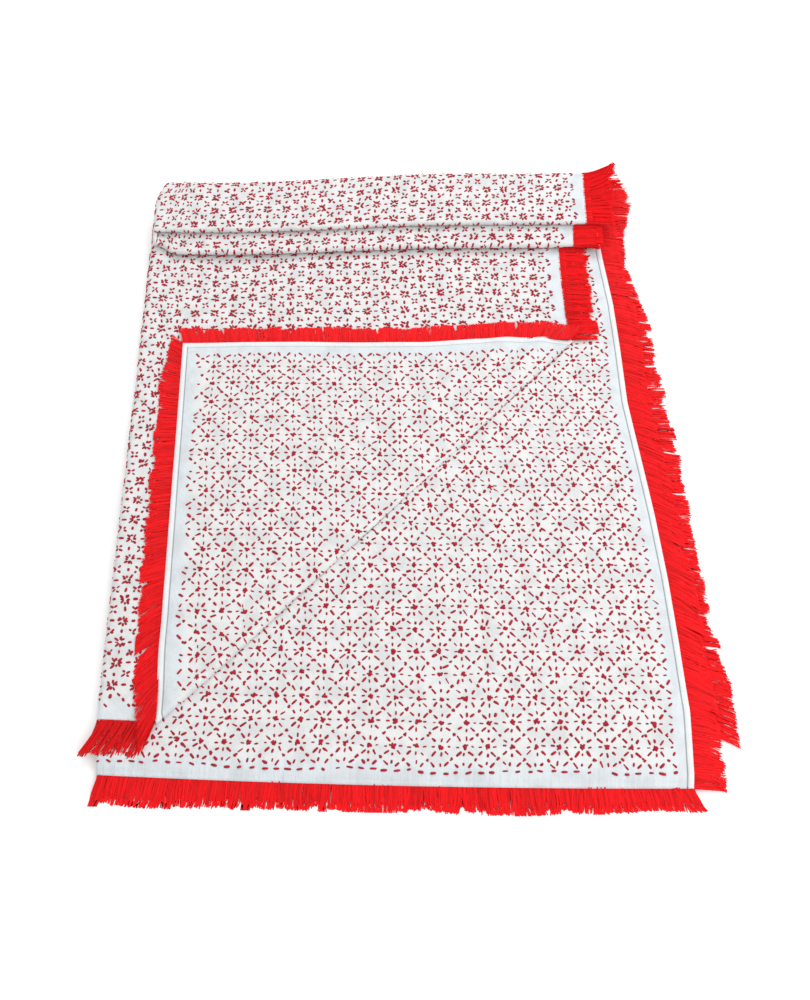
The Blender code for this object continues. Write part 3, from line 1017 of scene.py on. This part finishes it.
# How the strands lie along each run, at even steps from its start to its stop: their lean along the edge
# in millimetres, their share of the full length, and the rise or droop of their tips in millimetres
RUN_LIES = {
    "fringe_a_side": ((3, 4, 6, 9, 13, 16, 17, 13, 1), (1, 0.97, 1, 1, 1, 1, 1.03, 1.05, 1.12), (-4,)),
    "fringe_roll_upper": ((2, 3, 4, 3), (1,), (-1,)),
    "fringe_b_side": ((1, -1, -1, -1), (0.95, 1, 1), (-2,)),
    "fringe_flap_far": (
        (-6, -2, 0, -1, 1, 1, 2, 5, 20),
        (0.9, 0.86, 0.84, 0.84, 0.84, 0.84, 0.86, 0.9, 0.8),
        (-2,),
    ),
    "fringe_c_side": ((3, 6, 10), (1,), (-1,)),
    "fringe_roll_lower": (
        (-2, -5, -12, -10, -4, 0, 2, 2, 0, 0, 0, 0, 0),
        (1.9, 1.65, 1.2, 1.08, 1.02, 0.98, 0.98, 1, 1, 1, 1.1, 1.2, 1.2),
        (0, 2, 9, 9, 3, 0, 0, 0, 0, 0, 0, 0, 0),
    ),
    "fringe_d_side": (
        (-16, -11, -11, -9, -7, -5, -4, -3, -3, -3, -3, -3, -3),
        (0.9, 1.16, 0.95, 1.02, 1.02, 1.15, 1.28, 1.36, 1.33, 1.04, 0.76, 1.1, 2.1),
        (0,),
    ),
    "fringe_a_near": (
        (-7, -4, -2, -1, 0, 1, 1, 2, 5, 12),
        (1, 0.97, 0.91, 0.87, 0.84, 0.82, 0.88, 0.82, 0.75, 0.71),
        (-7,),
    ),
    "fringe_c_near": ((0,), (0.62,), (-1,)),
    "fringe_b_near": ((-22, -14), (0.92, 0.97), (-3,)),
    "fringe_flap_side": (
        (-38, -24, -18, -12, -7, -3, 0, 2, 7, 12),
        (0.5, 0.85, 0.9, 0.95, 0.95, 0.95, 0.95, 0.95, 0.93, 0.55),
        (-2,),
    ),
    "fringe_d_near": ((0,), (0.9,), (0,)),
}


# One run of trim: its solid, the quilt's edge and its stretch of it, the strands in a metre, whether the
# heading lies outside the edge, and whether the run follows the crease
Run = namedtuple("Run", "node edge start stop density outward turned_back")
DENSE = 2600
HIDDEN = 620

# How far runs stop short of the crease or pass it, on the side and at the near end, and pass the folds
SIDE_CREASE_PASS = 0.002
SIDE_CREASE_GAP = 0.0095
NEAR_CREASE_PASS = 0.004
NEAR_CREASE_GAP = 0.0085
FOLD_PASS_A = 0.003
FOLD_PASS_B = 0.006
ROLL_PASS = 0.004

# How strands lie in locks: the narrowest and widest lock, how far before the run the first one starts,
# how locks and strands differ in lean, length and bow, how strongly a lock is drawn together, how far
# roots stray from even steps and keep off the run's ends, and the share and lean of stray strands
LOCK_WIDTHS = (0.005, 0.022)
LOCK_START = 0.02
LOCK_LEAN = 0.0016
LOCK_REACH = 0.055
LOCK_BOW = 0.0003
LOCK_PULL = 0.15
STRAND_LEAN = 0.0016
STRAND_REACH = 0.035
STRAND_BOW = 0.0011
REACH_LIMITS = (0.72, 1.1)
ROOT_JITTER = 0.7
ROOT_INSET = 0.4
STRAY_SHARE = 0.04
STRAY_LEAN = 0.006

# The strands' own form: rings of three points, root depth, layers, thickness, flatness and tip, the
# powers by which lean and spread grow to the tip, how far a raised tip lies back, and the lowest point
# off the floor
STRAND_RINGS = 6
ROOT_DEPTH = 0.0015
STRAND_LAYER = 0.0006
LAYER_CLOSING = 0.3
RADIUS_LIMITS = (0.8, 1.15)
STRAND_FLATNESS = 0.6
TIP_START = 0.8
TIP_SHARE = 0.8
LEAN_POWER = 1.15
SPREAD_POWER = 2.2
RISE_BACK = 0.6
STRAND_FLOOR = 0.0002

# The brightest shade of the yarn in a run that lies in the shade of the cloth over it
SHADED_RUNS = {"fringe_b_near": 0.55}

# The woven heading: its step and end gap, its reach past the trim's two sides and over the edge, its
# ribs and the height of its edges, and the shade of its yarn, which is painted shade: lighter or darker at
# random to mark its ribs, and dark like the strands near their roots
TAPE_STEP = 0.003
TAPE_GAP = 0.0003
TAPE_SINK = 0.0012
TAPE_REACH = 0.0006
TAPE_OVER = 0.0022
TAPE_LINES = 6
TAPE_HEIGHT = 0.0009
TAPE_RIB = 0.0003
TAPE_RIB_TURN = 1.9
TAPE_EDGE = 0.0006
TAPE_FLATNESS = 0.9
TAPE_SHADES = (0.2, 0.9)
TAPE_ALONG = 0.3


def fringe_runs():
    """The twelve runs of trim round the quilt."""
    side_v = CREASE_SIDE_Y - FAR_FOLD_Y - FAR_ARC
    near_u = CREASE_NEAR_X - SIDE_FOLD_X - shift(-LENGTH_B)
    roll_a, roll_b = ROLL_START + ROLL_PASS, ROLL_START + FAR_ARC + ROLL_PASS
    fold_a, fold_b = -shift(LENGTH_A), -shift(-LENGTH_B)
    rows = (
        ("fringe_a_side", "right", roll_a, LENGTH_A, DENSE, False, True),
        ("fringe_roll_upper", "right", -roll_b, roll_a, DENSE, True, True),
        ("fringe_b_side", "right", side_v - SIDE_CREASE_PASS, -roll_b, DENSE, True, False),
        ("fringe_flap_far", "right", -LENGTH_B, side_v - SIDE_CREASE_GAP, DENSE, False, True),
        ("fringe_c_side", "left", roll_a, LENGTH_A, HIDDEN, False, True),
        ("fringe_roll_lower", "left", -roll_b, roll_a, DENSE, True, True),
        ("fringe_d_side", "left", -LENGTH_B, -roll_b, DENSE, True, True),
        ("fringe_a_near", "near_a", fold_a - FOLD_PASS_A, HALF_WIDTH, DENSE, False, True),
        ("fringe_c_near", "near_a", -HALF_WIDTH, fold_a - SIDE_ARC, HIDDEN, False, True),
        ("fringe_b_near", "near_b", fold_b - FOLD_PASS_B, near_u + NEAR_CREASE_PASS, DENSE, True, False),
        ("fringe_flap_side", "near_b", near_u + NEAR_CREASE_GAP, HALF_WIDTH, DENSE, False, True),
        ("fringe_d_near", "near_b", -HALF_WIDTH, fold_b - SIDE_ARC, HIDDEN, True, True),
    )
    return [Run(*row) for row in rows]


def along_run(values, share):
    """The value at a share of a run's length, from values evenly spaced along it."""
    return np.interp(share, np.linspace(0.0, 1.0, len(values)), values)


def edge_place(edge, t, out):
    """Quilt coordinates of the places t along an edge, at a distance out beyond it."""
    out = np.full(len(t), out)
    return {
        "right": (HALF_WIDTH + out, t),
        "left": (-HALF_WIDTH - out, t),
        "near_a": (t, LENGTH_A + out),
        "near_b": (t, -LENGTH_B - out),
    }[edge]


def edge_frame(sheet, run, t):
    """Places along a run's edge, folded, and the directions along it, out of it and off its face."""
    step = 0.0004

    def place(dt, out):
        return sheet.fold(flat_place(*edge_place(run.edge, t + dt, out)), run.turned_back)

    along = (place(step, 0.0) - place(-step, 0.0)) / (2 * step)
    outward = (place(0.0, step) - place(0.0, -step)) / (2 * step)
    flat = flat_place(*edge_place(run.edge, t, 0.0))
    return place(0.0, 0.0), along, outward, sheet.normal(flat, run.turned_back)


Strands = namedtuple("Strands", "root lean spread length rise layer bow radius shade")


def strand_lies(run, settings, rng):
    """Where each strand of a run starts and how it lies, in locks that lean, reach and bow together."""
    leans, lengths, rises = RUN_LIES[run.node]
    stretch = run.stop - run.start
    count = int(stretch * run.density)
    jitter = rng.uniform(-ROOT_JITTER, ROOT_JITTER, count)
    order = (np.arange(count) + 0.5 + jitter).clip(ROOT_INSET, count - ROOT_INSET)
    root = run.start + stretch / count * order
    share = (root - run.start) / stretch
    widths = rng.uniform(*LOCK_WIDTHS, int(stretch / LOCK_WIDTHS[0]) + 3)
    lock_at = np.cumsum(widths) + run.start - LOCK_START
    lock = np.clip(np.searchsorted(lock_at, root), 1, len(lock_at) - 1)
    centre = (lock_at[lock - 1] + lock_at[lock]) / 2
    spreads = (LOCK_LEAN, LOCK_REACH, LOCK_BOW)
    lock_lean, lock_reach, lock_bow = (rng.normal(0.0, s, len(lock_at))[lock] for s in spreads)
    pull = rng.uniform(0.0, LOCK_PULL, len(lock_at))[lock]
    spread = lock_lean + (centre - root) * pull + rng.normal(0.0, STRAND_LEAN, count)
    stray = rng.uniform(0.0, 1.0, count) < STRAY_SHARE
    spread = spread + np.where(stray, rng.normal(0.0, STRAY_LEAN, count), 0.0)
    reach = (1 + lock_reach + rng.normal(0.0, STRAND_REACH, count)).clip(*REACH_LIMITS)
    length = along_run(lengths, share) * reach * settings.strand_length
    layer = rng.uniform(-1.0, 1.0, count)
    if run.outward:
        length = length + settings.heading
        layer = layer + np.sign(layer)
    return Strands(
        root=root,
        lean=along_run(leans, share) / 1000,
        spread=spread,
        length=length,
        rise=along_run(rises, share) / 1000,
        layer=layer * STRAND_LAYER,
        bow=lock_bow + rng.normal(0.0, STRAND_BOW, count),
        radius=settings.strand_width / 2 * rng.uniform(*RADIUS_LIMITS, count),
        shade=rng.uniform(0.0, SHADED_RUNS.get(run.node, 1.0), count),
    )


def strand_mesh(sheet, run, settings, rng):
    """Points, faces, shade and place along of every strand of one run of fringe."""
    strands = strand_lies(run, settings, rng)
    count, per = len(strands.root), STRAND_RINGS * 3
    origin, e_along, e_out, e_up = edge_frame(sheet, run, strands.root)
    blocks = []
    shares = np.repeat(np.linspace(0.0, 1.0, STRAND_RINGS), 3)
    for s, k in zip(shares, [0, 1, 2] * STRAND_RINGS):
        turn = math.pi * (2 * k / 3 + 1 / 6)
        thin = strands.radius * (1.0 if s < TIP_START else TIP_SHARE)
        t = strands.lean * s**LEAN_POWER + strands.spread * s**SPREAD_POWER
        t = t + strands.bow * math.sin(math.pi * s) + thin * math.cos(turn)
        out = (strands.length + ROOT_DEPTH) * s - ROOT_DEPTH
        up = strands.layer * (1 - LAYER_CLOSING * s) + thin * math.sin(turn) * STRAND_FLATNESS
        points = origin + e_along * t[:, None] + e_out * out[:, None] + e_up * up[:, None]
        points[:, 1] += strands.rise.clip(0.0) * RISE_BACK * s * s
        points[:, 2] += strands.rise * s * s
        blocks.append(points)
    points = np.stack(blocks, axis=1).reshape(-1, 3)
    points[:, 2] = np.maximum(points[:, 2], STRAND_FLOOR * np.tile((2, 2, 1), len(points) // 3))
    local = tube_faces(STRAND_RINGS, 0) + [(2, 1, 0), (per - 3, per - 2, per - 1)]
    faces = repeated_faces(local, count, per, run.edge in ("left", "near_a"))
    return points, faces, np.repeat(strands.shade, per), np.tile(shares, count)


def heading_mesh(sheet, run, settings):
    """Points and faces of a run's woven heading: a thin closed tape over the outer face of the edge."""
    long = max(4, int((run.stop - run.start) / TAPE_STEP)) + 1
    t = np.linspace(run.start + TAPE_GAP, run.stop - TAPE_GAP, long)
    outs = np.linspace(-TAPE_SINK, settings.heading + TAPE_REACH, TAPE_LINES)
    if not run.outward:
        outs = outs - settings.heading + TAPE_OVER
    ribs = TAPE_HEIGHT + TAPE_RIB * np.sin(np.arange(TAPE_LINES) * TAPE_RIB_TURN)
    ribs[[0, -1]] = TAPE_EDGE
    rows = []
    for side in (0, 1):
        for out, rib in zip(outs, ribs):
            lift = (side - 0.5) * TAPE_FLATNESS * rib if run.outward else side * rib
            face = 0 if run.outward else OUTER
            rows.append(sheet.at(*edge_place(run.edge, t, out), face, lift, run.turned_back))
    low, high = np.arange(2 * TAPE_LINES * long).reshape(2, TAPE_LINES, long)
    corners = (
        (low[:-1, :-1], low[:-1, 1:], low[1:, 1:], low[1:, :-1]),
        (high[:-1, :-1], high[1:, :-1], high[1:, 1:], high[:-1, 1:]),
        (low[0, :-1], high[0, :-1], high[0, 1:], low[0, 1:]),
        (low[-1, 1:], high[-1, 1:], high[-1, :-1], low[-1, :-1]),
        (low[:-1, 0], low[1:, 0], high[1:, 0], high[:-1, 0]),
        (low[1:, -1], low[:-1, -1], high[:-1, -1], high[1:, -1]),
    )
    faces = [ring for four in corners for ring in np.stack(four, axis=-1).reshape(-1, 4).tolist()]
    return np.concatenate(rows), faces


class KANTHA_OT_cloth(Operator):
    """Add the folded quilted cloth"""

    bl_idname = "kantha.cloth"
    bl_label = "Quilted Cloth"

    def execute(self, context):
        cloth = context.scene.kantha_cloth
        obj = cloth_object(Sheet(cloth), cotton_material(cloth))
        settle(obj, "cotton", "quilt_cloth")
        return {"FINISHED"}


class KANTHA_OT_stitches(Operator):
    """Add the running stitches that show on both faces"""

    bl_idname = "kantha.stitches"
    bl_label = "Running Stitches"

    def execute(self, context):
        settings = context.scene.kantha_stitch
        sheet = Sheet(context.scene.kantha_cloth)
        material = thread_material(settings)
        stitches = stitch_ends()
        start, stop, width, shade, kept = uneven_stitches(stitches, settings)
        middle = (start + stop) / 2
        inner, outer, beneath = shown_faces(*middle.T, STITCH_MARGIN)
        face = stitches[:, 4]
        groups = (
            ("stitches_inner_face", (face == INNER) & inner & kept, INNER, 3),
            ("stitches_outer_face", (face == OUTER) & outer & kept, OUTER, 3),
            ("stitches_underside", (face == OUTER) & beneath & kept, OUTER, 2),
        )
        for name, chosen, side, rings in groups:
            ends = start[chosen], stop[chosen]
            made = thread_mesh(sheet, ends, width[chosen], shade[chosen], side, settings, rings)
            points, faces, shades = made
            settle(new_object(name, points, faces, material, (("shade", shades),)), "yarn")
        return {"FINISHED"}


class KANTHA_OT_fringe(Operator):
    """Add the fringe trim's heading and strands, run by run"""

    bl_idname = "kantha.fringe"
    bl_label = "Fringe Trim"

    def execute(self, context):
        settings = context.scene.kantha_fringe
        sheet = Sheet(context.scene.kantha_cloth)
        material = yarn_material(settings)
        rng = np.random.default_rng(settings.seed)
        for run in fringe_runs():
            points, faces, shade, along = strand_mesh(sheet, run, settings, rng)
            tape, tape_faces = heading_mesh(sheet, run, settings)
            faces = faces + [[k + len(points) for k in ring] for ring in tape_faces]
            shade = np.concatenate([shade, rng.uniform(*TAPE_SHADES, len(tape))])
            along = np.concatenate([along, np.full(len(tape), TAPE_ALONG)])
            points = np.concatenate([points, tape])
            attributes = (("shade", shade), ("along", along))
            name = run.node.replace("fringe", "trim")
            obj = new_object(name, points, faces, material, attributes, smooth_faces=False)
            settle(obj, "yarn", run.node)
        return {"FINISHED"}


class KANTHA_OT_stage(Operator):
    """Add the floor, the lights and the camera"""

    bl_idname = "kantha.stage"
    bl_label = "Stage"

    def execute(self, context):
        stage = context.scene.kantha_stage
        self.add_floor(stage)
        self.add_lights(context, stage)
        self.add_camera(context, stage)
        return {"FINISHED"}

    def add_floor(self, stage):
        size = 6.0
        corners = np.array([[-size, -size, 0.0], [size, -size, 0.0], [size, size, 0.0], [-size, size, 0.0]])
        floor = new_object("floor", corners, [[0, 1, 2, 3]], floor_material(stage))

    def add_lights(self, context, stage):
        world = bpy.data.worlds.new("studio")
        world.use_nodes = True
        background = world.node_tree.nodes["Background"]
        background.inputs["Color"].default_value = (1.0, 1.0, 1.0, 1.0)
        background.inputs["Strength"].default_value = stage.sky
        context.scene.world = world
        lamps = (("key", (0.3, 1.9, 1.7), stage.key, 1.0), ("fill", (1.7, -0.7, 1.5), stage.fill, 1.6))
        for name, place, power, size in lamps:
            lamp = bpy.data.lights.new(name, "AREA")
            lamp.energy = power
            lamp.size = size
            obj = bpy.data.objects.new(name, lamp)
            obj.location = place
            obj.rotation_euler = (-Vector(place)).to_track_quat("-Z", "Y").to_euler()
            context.scene.collection.objects.link(obj)
        context.scene.view_settings.view_transform = "Standard"

    def add_camera(self, context, stage):
        pitch, yaw, roll = stage.camera_pitch, stage.camera_yaw, stage.camera_roll
        level = Vector((math.cos(yaw), -math.sin(yaw), 0.0))
        ahead = Vector((math.sin(yaw), math.cos(yaw), 0.0))
        forward = math.cos(pitch) * ahead - math.sin(pitch) * Vector((0.0, 0.0, 1.0))
        up = level.cross(forward)
        across = math.cos(roll) * level + math.sin(roll) * up
        upward = math.cos(roll) * up - math.sin(roll) * level
        turn = Matrix((across, upward, -forward)).transposed().to_4x4()
        place = Vector((0.0, 0.0, stage.camera_height)) - Vector(PART_ORIGIN)
        data = bpy.data.cameras.new("camera")
        data.lens = stage.lens
        data.sensor_width = 36.0
        camera = bpy.data.objects.new("camera", data)
        camera.matrix_world = Matrix.Translation(place) @ turn
        context.scene.collection.objects.link(camera)
        context.scene.camera = camera


class KANTHA_OT_declare(Operator):
    bl_idname = "kantha.declare"
    bl_label = "Declare Cloth"

    def execute(self, context):
        return {"FINISHED"}


class KANTHA_PT_panel(Panel):
    """Sidebar panel that lists the quilt's settings and builders"""

    bl_idname = "KANTHA_PT_panel"
    bl_label = "Kantha Quilt"
    bl_space_type = "VIEW_3D"
    bl_region_type = "UI"
    bl_category = "Kantha"

    def draw(self, context):
        scene = context.scene
        groups = (
            (scene.kantha_cloth, "kantha.cloth"),
            (scene.kantha_stitch, "kantha.stitches"),
            (scene.kantha_fringe, "kantha.fringe"),
            (scene.kantha_stage, "kantha.stage"),
        )
        for settings, builder in groups:
            box = self.layout.box()
            for name in settings.__annotations__:
                box.prop(settings, name)
            box.operator(builder)
        self.layout.operator("kantha.declare")


CLASSES = (
    KanthaClothSettings,
    KanthaStitchSettings,
    KanthaFringeSettings,
    KanthaStageSettings,
    KANTHA_OT_cloth,
    KANTHA_OT_stitches,
    KANTHA_OT_fringe,
    KANTHA_OT_stage,
    KANTHA_OT_declare,
    KANTHA_PT_panel,
)


def register():
    for kind in CLASSES:
        bpy.utils.register_class(kind)
    bpy.types.Scene.kantha_cloth = PointerProperty(type=KanthaClothSettings)
    bpy.types.Scene.kantha_stitch = PointerProperty(type=KanthaStitchSettings)
    bpy.types.Scene.kantha_fringe = PointerProperty(type=KanthaFringeSettings)
    bpy.types.Scene.kantha_stage = PointerProperty(type=KanthaStageSettings)


def unregister():
    del bpy.types.Scene.kantha_stage
    del bpy.types.Scene.kantha_fringe
    del bpy.types.Scene.kantha_stitch
    del bpy.types.Scene.kantha_cloth
    for kind in reversed(CLASSES):
        bpy.utils.unregister_class(kind)


def main():
    register()
    bpy.ops.kantha.stage()
    bpy.ops.kantha.cloth()
    bpy.ops.kantha.stitches()
    bpy.ops.kantha.fringe()
    bpy.ops.kantha.declare()


if __name__ == "__main__":
    main()
